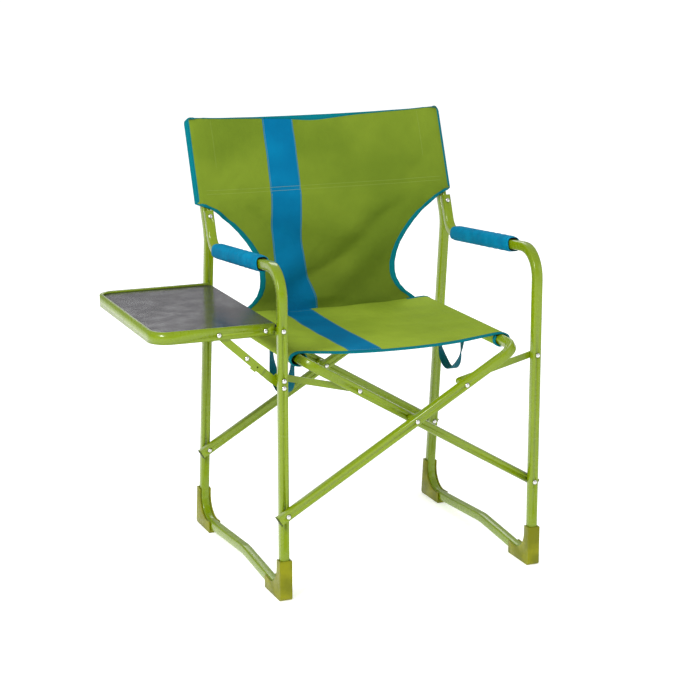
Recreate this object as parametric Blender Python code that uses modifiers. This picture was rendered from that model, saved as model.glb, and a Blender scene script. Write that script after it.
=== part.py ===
"""Folding director chair with a fold-down side table, as separate solids (metres, +Z up).

The sitter faces -Y, and +X is the viewer's right. Two side frames of bent square tube stand parallel.
Two U-shaped tubes cross like scissors between them and carry the seat. Every pivot axis runs along Y.
"""

import math

import bmesh
import bpy
from mathutils import Matrix, Vector

# ---- driving dimensions -------------------------------------------------------------------------
CHAIR_X, CHAIR_Y = 0.1119, 0.0017  # middle of the side frames, counted from the middle of the whole box
HALF_W = 0.265  # side frame's middle plane from the chair's middle
TUBE, WALL, TUBE_ROUND = 0.018, 0.0011, 0.0032
HALF_TUBE = TUBE / 2
GAP = 0.0003  # between pieces that touch

FRONT_Y, REAR_Y = -0.2515, 0.246  # leg centre lines at the floor
REAR_LEAN = 0.1106  # how far the rear leg comes forward for each metre up
POST_LEAN = 0.40  # how far the back post goes backward for each metre up
KINK_Z, POST_TOP_Z = 0.635, 0.848
ARM_FRONT_Z, ARM_SLOPE = 0.6448, 0.083  # the arm falls this much for each metre towards the back
RAIL_Z, RAIL_KINK_Y, RAIL_KINK_Z = 0.0112, -0.030, 0.0285
FOOT_BEND, FRONT_BEND, ARM_BEND, KINK_BEND = 0.050, 0.055, 0.036, 0.070
ARM_END_RUN, ARM_RIVET_IN = 0.0795, 0.0125  # length of the arm's upturned end from its corner

PIVOT_Z, CROSS_Z = 0.174, 0.332  # lower pivots and scissor crossing
SEAT_RAIL_X = 0.212
BAR_TAIL = 0.018  # bar left below its lower pivot
BAR_BEND = 0.030
PLUG_FLANGE, PLUG_STEM = 0.0016, 0.006
U1_FRONT_Y = FRONT_Y - TUBE - GAP  # in front of the left legs
U1_REAR_Y = 0.2035
U2_FRONT_Y = FRONT_Y + TUBE + GAP  # behind the right legs
U2_REAR_Y = 0.2475

LINK_Z = 0.4345  # links' pivots on the legs
LINK_PAST_CROSS = 0.1215  # links' pivots on the bars, counted from the crossing
LINK_HALF, PLATE = 0.0065, 0.0026
BOSS_R, SHANK_R, HOLE_R = 0.0034, 0.0022, 0.0025
HEAD_R, HEAD_H, TAIL_R, TAIL_H = 0.0048, 0.0024, 0.0038, 0.0014
IN_TUBE = 0.004  # how far past the tube's middle an open pivot's rivet reaches

RIM_Z, RIM_H, RIM_WALL, LIP, LIP_T = 0.541, 0.023, 0.0025, 0.0073, 0.0052
BOARD_Z, BOARD, BOARD_EDGE = 0.537, 0.0034, 0.0017  # the edge is rebated to sit under the lip
TABLE_INNER_X, TABLE_OUTER_X = -0.2685, -0.510
RIM_END_X = -0.274
TABLE_FRONT_Y, TABLE_BACK_Y = -0.2375, 0.162
TABLE_CORNER = 0.038
HINGE_Z = 0.529
BRACKET_X, BRACKET_Z = -0.292, 0.528  # rivet that holds the bracket to the rim
STRUT_Z, STRUT_RIM_X, STRUT_RIM_Z = 0.4205, -0.383, 0.5275
STRUT_UPPER = 0.0735  # between the upper half's two rivets
SPARE_HOLE_R = 0.002
STRUT_HALF, STRUT_END_HALF, STRUT_OVERLAP = 0.0075, 0.0058, 0.042
BRACKET_HALF = 0.0044

FOOT_HEIGHT, FOOT_LENGTH, FOOT_WALL, FOOT_HALF_W = 0.080, 0.088, 0.0028, 0.0124
SLEEVE_IN, SLEEVE_OUT, CLOTH = 0.0120, 0.0142, 0.0022
SEAT_FRONT_Y, SEAT_BACK_Y, SEAT_SAG = -0.205, 0.170, 0.006
BACK_TOP_Z, SLEEVE_FOOT_Z, WAIST_HALF = 0.862, 0.697, 0.150
BACK_BOTTOM_Z, BACK_BOTTOM_Y, BACK_BOTTOM_HALF = 0.475, 0.188, 0.195
PAD_HALF_W, PAD_HALF_H, PAD_FRONT_Y, PAD_BACK_Y = 0.0142, 0.0155, -0.150, 0.121
STRAP_W, STRAP_T, STRAP_DROP, STRAP_HALF = 0.018, 0.0018, 0.088, 0.062
STRAP_IN = 0.0045  # straps hang this far inside the rail, clear of the arm pads when folded
STRAP_BEND = 0.032
STRAP_MID_Y = {"left": -0.092, "right": 0.020}

# ---- materials ----------------------------------------------------------------------------------
LOOKS = {
    "frame_paint": ((0.33, 0.46, 0.03), 0.30, 0.0),
    "foot_plastic": ((0.26, 0.27, 0.02), 0.45, 0.0),
    "seat_fabric": ((0.28, 0.38, 0.06), 0.85, 0.0),
    "pad_fabric": ((0.0, 0.25, 0.45), 0.85, 0.0),
    "webbing": ((0.0, 0.16, 0.20), 0.80, 0.0),
    "board_laminate": ((0.09, 0.09, 0.10), 0.25, 0.0),
    "rivet_steel": ((0.75, 0.75, 0.75), 0.25, 1.0),
    "plug_plastic": ((0.05, 0.07, 0.01), 0.60, 0.0),
}


def look(obj, slot):
    """Gives the object the slot's Principled material, made the first time it is asked for."""
    material = bpy.data.materials.get(slot)
    if material is None:
        colour, roughness, metallic = LOOKS[slot]
        material = bpy.data.materials.new(slot)
        material.use_nodes = True
        shader = material.node_tree.nodes["Principled BSDF"]
        shader.inputs["Base Color"].default_value = (*colour, 1)
        shader.inputs["Roughness"].default_value = roughness
        shader.inputs["Metallic"].default_value = metallic
    obj.data.materials.clear()
    obj.data.materials.append(material)


# ---- scene --------------------------------------------------------------------------------------
def clear_scene():
    for obj in list(bpy.data.objects):
        bpy.data.objects.remove(obj, do_unlink=True)


def new_collection(name, hidden=False):
    collection = bpy.data.collections.new(name)
    bpy.context.scene.collection.children.link(collection)
    collection.hide_render = hidden
    return collection


def pivot(name, x, z):
    """An empty on a hinge axis, which the pieces that turn about it are parented to."""
    empty = bpy.data.objects.new(name, None)
    empty.location = (x, 0, z)
    empty.parent = ORIGIN
    empty.empty_display_size = 0.02
    PARTS.objects.link(empty)
    return empty


def finish(obj, slot, carrier=None):
    """Names the material and hangs the piece, so far in chair coordinates, on its empty."""
    look(obj, slot)
    obj.parent = carrier or ORIGIN
    if carrier:
        obj.location -= carrier.location
    return obj


def smooth(obj, angle=35):
    obj.data.shade_smooth()
    obj.data.set_sharp_from_angle(angle=math.radians(angle))


# ---- curves and solids --------------------------------------------------------------------------
def rounded(points, radii, closed=False, step=10):
    """The outline through points, with each corner turned into an arc of its radius, in 2D."""
    points = [Vector(p) for p in points]
    out = []
    for i, p in enumerate(points):
        if not radii[i] or (not closed and i in (0, len(points) - 1)):
            out.append(p)
            continue
        a = (points[i - 1] - p).normalized()
        b = (points[(i + 1) % len(points)] - p).normalized()
        half = math.acos(max(-1, min(1, a.dot(b)))) / 2
        turn = math.pi - 2 * half
        centre = p + (a + b).normalized() * radii[i] / math.sin(half)
        start = p + a * radii[i] / math.tan(half) - centre
        sign = 1 if start.cross(p + b * radii[i] / math.tan(half) - centre) > 0 else -1
        count = max(2, round(math.degrees(turn) / step))
        for k in range(count + 1):
            out.append(centre + Matrix.Rotation(sign * turn * k / count, 2) @ start)
    return out


def poly_curve(name, outlines, cyclic=True):
    """A 2D poly curve in its own XY plane."""
    curve = bpy.data.curves.new(name, "CURVE")
    curve.dimensions = "2D"
    curve.fill_mode = "BOTH" if cyclic else "NONE"
    for outline in outlines:
        spline = curve.splines.new("POLY")
        spline.points.add(len(outline) - 1)
        for point, (u, v) in zip(spline.points, outline):
            point.co = (u, v, 0, 1)
        spline.use_cyclic_u = cyclic
    return curve


def to_mesh_object(name, curve_obj, matrix, collection):
    """Turns a curve object into a welded mesh object in chair coordinates."""
    bpy.context.scene.collection.objects.link(curve_obj)
    bpy.context.view_layer.update()
    graph = bpy.context.evaluated_depsgraph_get()
    mesh = bpy.data.meshes.new_from_object(curve_obj.evaluated_get(graph))
    bpy.data.objects.remove(curve_obj, do_unlink=True)
    work = bmesh.new()
    work.from_mesh(mesh)
    bmesh.ops.transform(work, matrix=matrix, verts=work.verts)
    bmesh.ops.remove_doubles(work, verts=work.verts, dist=1e-6)
    bmesh.ops.recalc_face_normals(work, faces=work.faces)
    work.to_mesh(mesh)
    work.free()
    mesh.materials.clear()
    obj = bpy.data.objects.new(name, mesh)
    collection.objects.link(obj)
    return obj


PLANES = {  # where an outline's own x, y and thickness directions point
    "YZ": Matrix(((0, 0, 1, 0), (1, 0, 0, 0), (0, 1, 0, 0), (0, 0, 0, 1))),
    "XZ": Matrix(((1, 0, 0, 0), (0, 0, -1, 0), (0, 1, 0, 0), (0, 0, 0, 1))),
    "XY": Matrix.Identity(4),
}


def slab(name, outlines, plane, low, high, collection=None):
    """A flat outline, given with its holes, filled between low and high along the plane's normal."""
    curve = poly_curve(name, outlines)
    curve.extrude = (high - low) / 2
    middle = (low + high) / 2
    shift = {"YZ": (middle, 0, 0), "XZ": (0, middle, 0), "XY": (0, 0, middle)}[plane]
    matrix = Matrix.Translation(shift) @ PLANES[plane]
    return to_mesh_object(name, bpy.data.objects.new(name, curve), matrix, collection or PARTS)


def square_section(half, corner):
    """A tube section's outline."""
    corners = [(half, -half), (half, half), (-half, half), (-half, -half)]
    return rounded(corners, [corner] * 4, closed=True, step=45)


def swept_tube(name, path, matrix, wall=WALL):
    """A hollow square tube along a flat path, with open ends."""
    section = bpy.data.objects.new("section", poly_curve("section", [square_section(HALF_TUBE, TUBE_ROUND)]))
    section.data.fill_mode = "NONE"
    bpy.context.scene.collection.objects.link(section)
    curve = poly_curve(name, [path], cyclic=False)
    curve.bevel_mode, curve.bevel_object = "OBJECT", section
    obj = to_mesh_object(name, bpy.data.objects.new(name, curve), matrix, PARTS)
    bpy.data.objects.remove(section, do_unlink=True)
    shell = obj.modifiers.new("wall", "SOLIDIFY")
    shell.thickness, shell.offset = wall, -1
    return obj


def turned(name, profile, matrix, collection=None, steps=12):
    """A turned piece: (radius, height) pairs from top to bottom, spun about the matrix's Z."""
    mesh = bpy.data.meshes.new(name)
    work = bmesh.new()
    corners = [work.verts.new((radius, 0, height)) for radius, height in profile]
    for a, b in zip(corners, corners[1:]):
        work.edges.new((a, b))
    work.to_mesh(mesh)
    work.free()
    obj = bpy.data.objects.new(name, mesh)
    (collection or PARTS).objects.link(obj)
    obj.matrix_world = matrix
    screw = obj.modifiers.new("turn", "SCREW")
    screw.steps = screw.render_steps = steps
    screw.use_merge_vertices = True
    screw.merge_threshold = 0.00005
    screw.use_smooth_shade = True
    return obj


def axis_along(direction, at):
    """A matrix whose Z points along direction, placed at a point."""
    return Matrix.Translation(at) @ Vector(direction).to_track_quat("Z", "Y").to_matrix().to_4x4()


def cylinder_mesh(work, centre, direction, radius, length, sides=12):
    made = bmesh.ops.create_cone(
        work, cap_ends=True, segments=sides, radius1=radius, radius2=radius, depth=length,
        matrix=axis_along(direction, centre),
    )
    return made["verts"]


def drill(obj, holes):
    """Cuts round holes, each given as centre, direction, radius and length."""
    work = bmesh.new()
    for centre, direction, radius, length in holes:
        cylinder_mesh(work, centre, direction, radius, length)
    cut(obj, work)


def cut(obj, work, operation="DIFFERENCE"):
    """Takes the bmesh away from the object, or joins it on."""
    mesh = bpy.data.meshes.new(obj.name + "_cutter")
    work.to_mesh(mesh)
    work.free()
    cutter = bpy.data.objects.new(obj.name + "_cutter", mesh)
    cutter.parent = ORIGIN
    cutter.hide_render, cutter.display_type = True, "WIRE"
    CUTTERS.objects.link(cutter)
    boolean = obj.modifiers.new(operation.lower(), "BOOLEAN")
    boolean.operation, boolean.solver, boolean.object = operation, "EXACT", cutter


def mesh_of(obj):
    """A bmesh of a scratch object, which is removed."""
    work = bmesh.new()
    work.from_mesh(obj.data)
    bpy.data.objects.remove(obj, do_unlink=True)
    return work


Y_AXIS = (0, 1, 0)


def rivet(name, at, front, back, carrier=None, direction=Y_AXIS, tail=True):
    """A domed rivet along direction, through the point at. It holds the faces front and back together."""
    length = back - front
    dome = [(HEAD_R * math.cos(a), -GAP - HEAD_H * math.sin(a)) for a in (math.pi / 2, 1.0, 0.5, 0)]
    profile = [(0, dome[0][1]), *dome[1:], (SHANK_R, -GAP)]
    end = length + GAP
    if tail:
        profile += [(SHANK_R, end), (TAIL_R, end), (TAIL_R * 0.8, end + TAIL_H), (0, end + TAIL_H)]
    else:
        profile += [(SHANK_R, length), (0, length)]
    axis = Vector(direction)
    start = Vector(at) + axis * front
    obj = turned(name, [(r, -h) for r, h in profile], axis_along(-axis, start))
    return finish(obj, "rivet_steel", carrier)


def bar_outline(a, b, half_a, half_b):
    """A flat bar's outline with round ends about two points."""
    a, b = Vector(a), Vector(b)
    along = (b - a).normalized()
    start = math.atan2(along.y, along.x)
    out = []
    for centre, half, offset in ((a, half_a, math.pi / 2), (b, half_b, -math.pi / 2)):
        for k in range(7):
            angle = start + offset + math.pi * k / 6
            out.append(centre + Vector((math.cos(angle), math.sin(angle))) * half)
    return out


def ring(centre, radius, sides=12):
    turns = [2 * math.pi * k / sides for k in range(sides)]
    return [(centre[0] + radius * math.cos(turn), centre[1] + radius * math.sin(turn)) for turn in turns]


# ---- side frames --------------------------------------------------------------------------------
def rear_leg_y(z):
    return REAR_Y - REAR_LEAN * z


def post_y(z):
    return rear_leg_y(KINK_Z) + POST_LEAN * (z - KINK_Z)


POST_DIRECTION = Vector((POST_LEAN, 1)).normalized()  # in Y and Z
ARM_OFFSET = TUBE + 2 * GAP


def arm_z(y):
    return ARM_FRONT_Z - ARM_SLOPE * (y - FRONT_Y)


def arm_corner():
    """Where the arm meets the line of its upturned end, which runs beside the post."""
    ahead = ARM_OFFSET / POST_DIRECTION.y
    y = (post_y(arm_z(0)) - ahead) / (1 + POST_LEAN * ARM_SLOPE)
    return Vector((y, arm_z(y)))


ARM_CORNER = arm_corner()


def frame_path():
    """The side frame's centre line in Y and Z: post, rear leg, base rail, front leg, arm, upturned end."""
    corners = [
        (post_y(POST_TOP_Z), POST_TOP_Z),
        (rear_leg_y(KINK_Z), KINK_Z),
        (rear_leg_y(RAIL_Z), RAIL_Z),
        (RAIL_KINK_Y, RAIL_KINK_Z),
        (FRONT_Y, RAIL_Z),
        (FRONT_Y, ARM_FRONT_Z),
        ARM_CORNER,
        ARM_CORNER + POST_DIRECTION * ARM_END_RUN,
    ]
    return rounded(corners, [0, KINK_BEND, FOOT_BEND, 0.15, FOOT_BEND, FRONT_BEND, ARM_BEND, 0])


ARM_RIVET = ARM_CORNER + POST_DIRECTION * (ARM_END_RUN - ARM_RIVET_IN)  # on the arm's upturned end
ACROSS_POST = Vector((0, POST_DIRECTION.y, -POST_DIRECTION.x))


def leg_holes(side, x):
    """The rivet holes of one side frame: centre, direction, radius and length."""
    long = 0.03
    front = [PIVOT_Z, LINK_Z] + ([STRUT_Z, HINGE_Z] if side == "left" else [])
    holes = [((x, FRONT_Y, z), Y_AXIS, HOLE_R, long) for z in front]
    holes += [((x, rear_leg_y(z), z), Y_AXIS, HOLE_R, long) for z in front]
    middle = Vector((x, ARM_RIVET.x, ARM_RIVET.y)) + ACROSS_POST * ARM_OFFSET / 2
    holes.append((middle, ACROSS_POST, HOLE_R, 0.06))
    return holes


def side_frame(side, x):
    obj = swept_tube("side_frame_" + side, frame_path(), Matrix.Translation((x, 0, 0)) @ PLANES["YZ"])
    drill(obj, leg_holes(side, x))
    smooth(obj)
    return obj


def foot_cap(name, end, x, carrier):
    """A plastic corner cap: square outside, hollow round the tube's bend, open on the inside of the bend."""
    lean = REAR_LEAN if end > 0 else 0.0
    base_y = REAR_Y if end > 0 else FRONT_Y
    reach = HALF_TUBE + FOOT_WALL
    leg = Vector((-lean, 1)).normalized()
    leg_out = Vector((leg.y, -leg.x)) * end

    def leg_point(z, offset):
        return Vector((base_y - lean * z, z)) + leg_out * offset

    rail_slope = (RAIL_KINK_Z - RAIL_Z) / abs(RAIL_KINK_Y - base_y)
    toe_y = base_y + end * reach - end * FOOT_LENGTH

    def rail_point(y, offset):
        return Vector((y, RAIL_Z + rail_slope * (base_y - y) * end + offset))

    show = HALF_TUBE - 0.0008  # the side walls stop just short of the tube's inner face
    inner_y = leg_point(RAIL_Z + show, -show).x
    outline = [
        leg_point(FOOT_HEIGHT, reach),
        Vector((leg_point(0, reach).x, 0)),
        Vector((toe_y, 0)),
        rail_point(toe_y, show),
        rail_point(inner_y, show),
        leg_point(FOOT_HEIGHT, -show),
    ]
    body = slab(name, [rounded(outline, [0, 0.006, 0, 0, FOOT_BEND - show, 0], closed=True)], "YZ",
                x - FOOT_HALF_W, x + FOOT_HALF_W)
    bevel = body.modifiers.new("edges", "BEVEL")
    bevel.width, bevel.segments, bevel.limit_method = 0.0012, 2, "ANGLE"
    room = HALF_TUBE + GAP
    corner = leg_point(RAIL_Z - room, room)
    far = 0.2
    channel = [
        leg_point(far, room),
        Vector((corner.x, rail_point(corner.x, -room).y)),
        rail_point(base_y - end * far, -room),
        Vector((base_y - end * far, far)),
    ]
    hollow = slab("hollow", [rounded(channel, [0, FOOT_BEND + room, 0, 0], closed=True)], "YZ",
                  x - HALF_TUBE - GAP, x + HALF_TUBE + GAP)
    cut(body, mesh_of(hollow))
    return finish(body, "foot_plastic", carrier)


def arm_pad(side, x, carrier):
    """A foam sleeve round the arm, a little higher than it is wide, with flat top and bottom."""

    def box(half_w, half_h, corner, step):
        corners = [(half_w, -half_h), (half_w, half_h), (-half_w, half_h), (-half_w, -half_h)]
        return rounded(corners, [corner] * 4, closed=True, step=step)

    room = HALF_TUBE + GAP
    half = (PAD_BACK_Y - PAD_FRONT_Y) / 2
    outlines = [box(PAD_HALF_W, PAD_HALF_H, 0.010, 30), box(room, room, TUBE_ROUND, 45)]
    obj = slab("arm_pad_" + side, outlines, "XZ", -half, half)
    middle = (PAD_BACK_Y + PAD_FRONT_Y) / 2
    tilt = Matrix.Rotation(-math.atan(ARM_SLOPE), 4, "X")
    obj.data.transform(Matrix.Translation((x, middle, arm_z(middle))) @ tilt)
    return finish(obj, "pad_fabric", carrier)


# ---- scissor frames -----------------------------------------------------------------------------
BAR_ANGLE = math.atan2(CROSS_Z - PIVOT_Z, HALF_W)
HALF_BAR = HALF_W / math.cos(BAR_ANGLE)  # lower pivot to crossing
BAR_LENGTH = (HALF_W + SEAT_RAIL_X) / math.cos(BAR_ANGLE)  # lower pivot to seat rail
LINK_ALONG = HALF_BAR + LINK_PAST_CROSS
SEAT_RAIL_Z = PIVOT_Z + BAR_LENGTH * math.sin(BAR_ANGLE)


def on_bar(sign, along):
    """X and Z of a point on a bar. sign is +1 for the bar that starts at the left legs."""
    return Vector((sign * (along * math.cos(BAR_ANGLE) - HALF_W), PIVOT_Z + along * math.sin(BAR_ANGLE)))


def u_frame(name, sign, front, rear, carrier):
    """A U of square tube: two bars and the seat rail that joins their upper ends."""
    path = [(-BAR_TAIL, front), (BAR_LENGTH, front), (BAR_LENGTH, rear), (-BAR_TAIL, rear)]
    start = on_bar(sign, 0)
    c, s = math.cos(BAR_ANGLE), math.sin(BAR_ANGLE)
    matrix = Matrix(((sign * c, 0, -s, start.x), (0, 1, 0, 0), (s, 0, sign * c, start.y), (0, 0, 0, 1)))
    obj = swept_tube(name, rounded(path, [0, BAR_BEND, BAR_BEND, 0]), matrix)
    holes = []
    for along in (0, HALF_BAR, LINK_ALONG):
        x, z = on_bar(sign, along)
        holes += [((x, y, z), Y_AXIS, HOLE_R, 0.03) for y in (front, rear)]
    drill(obj, holes)
    smooth(obj)
    finish(obj, "frame_paint", carrier)
    for place, y in (("front", front), ("rear", rear)):
        end_plug(f"{name}_plug_{place}", matrix, y, carrier)


def box_mesh(matrix, low, high):
    """A bmesh box between two corners in the matrix's own directions."""
    low, high = Vector(low), Vector(high)
    work = bmesh.new()
    size = Matrix.Diagonal((*(high - low), 1))
    bmesh.ops.create_cube(work, size=1, matrix=matrix @ Matrix.Translation((low + high) / 2) @ size)
    return work


def end_plug(name, matrix, y, carrier):
    """A plastic plug: a flange over the tube's end and a stem inside it."""
    end = matrix @ Matrix.Translation((-BAR_TAIL, y, 0))
    flange = HALF_TUBE - 0.0005
    mesh = bpy.data.meshes.new(name)
    work = box_mesh(end, (-PLUG_FLANGE, -flange, -flange), (-GAP, flange, flange))
    work.to_mesh(mesh)
    work.free()
    obj = bpy.data.objects.new(name, mesh)
    PARTS.objects.link(obj)
    stem = HALF_TUBE - WALL - GAP - TUBE_ROUND * 0.3
    cut(obj, box_mesh(end, (-PLUG_FLANGE / 2, -stem, -stem), (PLUG_STEM, stem, stem)), "UNION")
    return finish(obj, "plug_plastic", carrier)


def spacer(name, sign, along, front, rear, carrier):
    x, z = on_bar(sign, along)
    obj = slab(name, [ring((x, z), 0.0068, 16), ring((x, z), HOLE_R)], "XZ", front + GAP, rear - GAP)
    smooth(obj)
    return finish(obj, "frame_paint", carrier)


def plate_with_boss(name, outline, holes, y_low, y_high, boss, slot, carrier):
    """A flat plate in XZ with drilled holes, and a boss: centre, radius and the Y it reaches."""
    plate = slab(name, [outline], "XZ", y_low, y_high)
    for centre, radius, reach in boss:
        low, high = (reach, y_high - PLATE / 2) if reach < y_low else (y_low + PLATE / 2, reach)
        cut(plate, mesh_of(slab("boss", [ring(centre, radius)], "XZ", low, high)), "UNION")
    drill(plate, [((x, (y_low + y_high) / 2, z), Y_AXIS, HOLE_R, 0.14) for x, z in holes])
    return finish(plate, slot, carrier)


def link(name, side, plate_y, boss_at_leg, boss_to, carrier):
    """A short bar from a leg to the scissor bar beside it. No rivet passes through its bar end."""
    leg_x = -HALF_W if side == "left" else HALF_W
    bar = on_bar(-1 if side == "left" else 1, LINK_ALONG)
    leg = (leg_x, LINK_Z)
    boss_centre = leg if boss_at_leg else tuple(bar)
    outline = bar_outline(leg, bar, LINK_HALF, LINK_HALF)
    bosses = [(boss_centre, BOSS_R if boss_at_leg else LINK_HALF - 0.001, boss_to)]
    holes = [leg, tuple(bar)]
    return plate_with_boss(name, outline, holes, plate_y, plate_y + PLATE, bosses, "frame_paint", carrier)


# ---- side table ---------------------------------------------------------------------------------
def table_outline(inset, inner_x):
    """The table's plan: round outer corners, square inner ones. It starts and ends on the inner side."""
    outer, front, back = TABLE_OUTER_X + inset, TABLE_FRONT_Y + inset, TABLE_BACK_Y - inset
    corners = [(inner_x, front), (outer, front), (outer, back), (inner_x, back)]
    return rounded(corners, [0, TABLE_CORNER - inset, TABLE_CORNER - inset, 0])


def table_rim(carrier):
    """A strip standing round three sides, with a lip over the board's edge."""
    lip_low = RIM_Z - LIP_T
    wall = table_outline(0, RIM_END_X) + table_outline(RIM_WALL, RIM_END_X)[::-1]
    obj = slab("table_rim", [wall], "XY", RIM_Z - RIM_H, RIM_Z - 0.0006)
    lip = table_outline(0.0008, RIM_END_X - GAP) + table_outline(LIP, RIM_END_X - GAP)[::-1]
    cut(obj, mesh_of(slab("lip", [lip], "XY", lip_low, RIM_Z)), "UNION")
    holes = []
    for x, z in ((BRACKET_X, BRACKET_Z), (STRUT_RIM_X, STRUT_RIM_Z)):
        for y in (TABLE_FRONT_Y, TABLE_BACK_Y):
            holes.append(((x, y, z), Y_AXIS, HOLE_R, 0.012))
    drill(obj, holes)
    return finish(obj, "frame_paint", carrier)


def table_board(carrier):
    """The board: a thin edge under the rim's lip, and a raised middle inside it."""
    low = BOARD_Z - BOARD
    edge = table_outline(RIM_WALL + GAP, TABLE_INNER_X)
    obj = slab("table_board", [edge], "XY", low, low + BOARD_EDGE)
    middle = table_outline(LIP + 2 * GAP, TABLE_INNER_X - GAP)
    cut(obj, mesh_of(slab("middle", [middle], "XY", low + BOARD_EDGE / 2, BOARD_Z)), "UNION")
    return finish(obj, "board_laminate", carrier)


def hinge_bracket(place, inner_y, sign, leg_face, carrier):
    """A plate inside the rim's end that reaches the leg. Its boss takes up the room to the leg."""
    low, high = sorted((inner_y, inner_y + sign * PLATE))
    outline = bar_outline((BRACKET_X - 0.014, BRACKET_Z), (-HALF_W, HINGE_Z), BRACKET_HALF, BRACKET_HALF)
    holes = [(BRACKET_X, BRACKET_Z), (-HALF_W, HINGE_Z)]
    boss = ((-HALF_W, HINGE_Z), BRACKET_HALF - 0.0004, leg_face)
    name = f"table_hinge_bracket_{place}"
    return plate_with_boss(name, outline, holes, low, high, [boss], "frame_paint", carrier)


def strut_middle():
    """Where the two strut halves meet: they lie in line when the table is up."""
    top, foot = Vector((STRUT_RIM_X, STRUT_RIM_Z)), Vector((-HALF_W, STRUT_Z))
    return top + (foot - top).normalized() * STRUT_UPPER


def struts(place, upper_y, lower_y, leg_face, carriers):
    """The folding strut of one side: each y is the lower face of a plate."""
    top, middle, foot = Vector((STRUT_RIM_X, STRUT_RIM_Z)), strut_middle(), Vector((-HALF_W, STRUT_Z))
    along = (foot - top).normalized()
    across = Vector((-along.y, along.x))
    past = middle + along * STRUT_OVERLAP
    arc = bar_outline(top, past, STRUT_END_HALF, STRUT_HALF)[:7]
    neck = top + along * 0.020
    sides = [neck - across * STRUT_HALF, past - across * STRUT_HALF, past + across * STRUT_HALF,
             neck + across * STRUT_HALF]
    outline = rounded(arc + sides, [0] * 8 + [0.003] * 2 + [0], closed=True)
    upper = slab(f"table_strut_upper_{place}", [outline], "XZ", upper_y, upper_y + PLATE)

    def ear(start, end, root, reach):
        """A little rectangle on the strut's lower edge, between two distances past the middle."""
        a, b = middle + along * start - across * STRUT_HALF, middle + along * end - across * STRUT_HALF
        return [a - across * root, b - across * root, b - across * reach, a - across * reach]

    tab = slab("tab", [ear(0.018, 0.030, -0.0012, 0.0032)], "XZ", upper_y + 0.0004, upper_y + PLATE - 0.0004)
    cut(upper, mesh_of(tab), "UNION")
    low, high = upper_y + PLATE / 2, lower_y + PLATE * 0.8
    cut(upper, mesh_of(slab("hook", [ear(0.0185, 0.0295, 0.0008, 0.0028)], "XZ", low, high)), "UNION")
    holes = [(top, HOLE_R), (middle, HOLE_R), (middle + along * 0.028, SPARE_HOLE_R)]
    drill(upper, [((hole.x, upper_y, hole.y), Y_AXIS, radius, 4 * PLATE) for hole, radius in holes])
    finish(upper, "frame_paint", carriers[0])

    taper = foot - along * 0.020
    start = bar_outline(middle, foot, STRUT_HALF, STRUT_END_HALF)
    outline = start[:7] + [taper - across * STRUT_HALF] + start[7:] + [taper + across * STRUT_HALF]
    holes, boss = [tuple(middle), tuple(foot)], (tuple(foot), BOSS_R + 0.0005, leg_face)
    name = f"table_strut_lower_{place}"
    plate_with_boss(name, outline, holes, lower_y, lower_y + PLATE, [boss], "frame_paint", carriers[1])


# ---- soft parts ---------------------------------------------------------------------------------
def seat_fabric(carrier):
    """The seat: a sleeve round each rail and a slightly sagging panel between their tops."""
    join = math.radians(62)  # where the panel meets the sleeve, counted up from the inside
    outline = []
    shy, steps = math.radians(14), 12
    turn = 2 * math.pi - 2 * shy
    for x, sign in ((SEAT_RAIL_X, 1), (-SEAT_RAIL_X, -1)):
        for k in range(steps + 1):
            if sign > 0:
                angle = math.pi - join - shy - turn * k / steps
            else:
                angle = join + shy + turn * (steps - k) / steps
            outline.append((x + SLEEVE_OUT * math.cos(angle), SEAT_RAIL_Z + SLEEVE_OUT * math.sin(angle)))
        if sign > 0:
            outline += [(u, v - CLOTH / 2) for u, v in seat_line(reverse=True)]
    outline += [(u, v + CLOTH / 2) for u, v in seat_line()]
    holes = [ring((x, SEAT_RAIL_Z), SLEEVE_IN, 14) for x in (-SEAT_RAIL_X, SEAT_RAIL_X)]
    obj = slab("seat_fabric", [outline] + holes, "XZ", SEAT_FRONT_Y, SEAT_BACK_Y)
    return finish(obj, "seat_fabric", carrier)


def seat_line(reverse=False):
    """Points across the seat between the sleeves, sagging in a parabola."""
    edge = SEAT_RAIL_X - 0.016
    top = SEAT_RAIL_Z + SLEEVE_OUT - 0.0026
    points = []
    for k in range(9):
        x = edge * (k / 4 - 1)
        points.append((x, top - SEAT_SAG * (1 - (x / edge) ** 2)))
    return points[::-1] if reverse else points


def back_fabric():
    """The back: sleeves on the leaning posts, a panel between them, and a waisted panel down to the seat."""
    seam = Vector((post_y(SLEEVE_FOOT_Z), SLEEVE_FOOT_Z))
    top = Vector((post_y(BACK_TOP_Z), BACK_TOP_Z))
    foot = Vector((BACK_BOTTOM_Y, BACK_BOTTOM_Z))
    half = CLOTH / 2
    front = [(p.x - half, p.y) for p in (top, seam, foot)]
    rear = [(p.x + half, p.y) for p in (foot, seam, top)]
    wide = HALF_W + HALF_TUBE - 0.002
    obj = slab("back_fabric", [front + rear], "YZ", -wide, wide)
    across = Vector((POST_DIRECTION.y, -POST_DIRECTION.x))
    low, high = seam + POST_DIRECTION * 0.001, top
    block = HALF_TUBE + 0.0034
    for x in (-HALF_W, HALF_W):
        sleeve = [low - across * block, high - across * block, high + across * block, low + across * block]
        cut(obj, mesh_of(slab("sleeve", [sleeve], "YZ", x - block, x + block)), "UNION")
    for x in (-HALF_W, HALF_W):
        room = HALF_TUBE + 0.0009
        end = Vector((post_y(POST_TOP_Z), POST_TOP_Z)) + POST_DIRECTION * 0.002
        start = seam - POST_DIRECTION * 0.05
        inside = [start - across * room, end - across * room, end + across * room, start + across * room]
        cut(obj, mesh_of(slab("inside", [inside], "YZ", x - room, x + room)))
    for sign in (-1, 1):
        cut(obj, mesh_of(slab("cut_out", [cut_out(sign)], "XZ", 0.10, 0.30)))
    return finish(obj, "seat_fabric")


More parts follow.
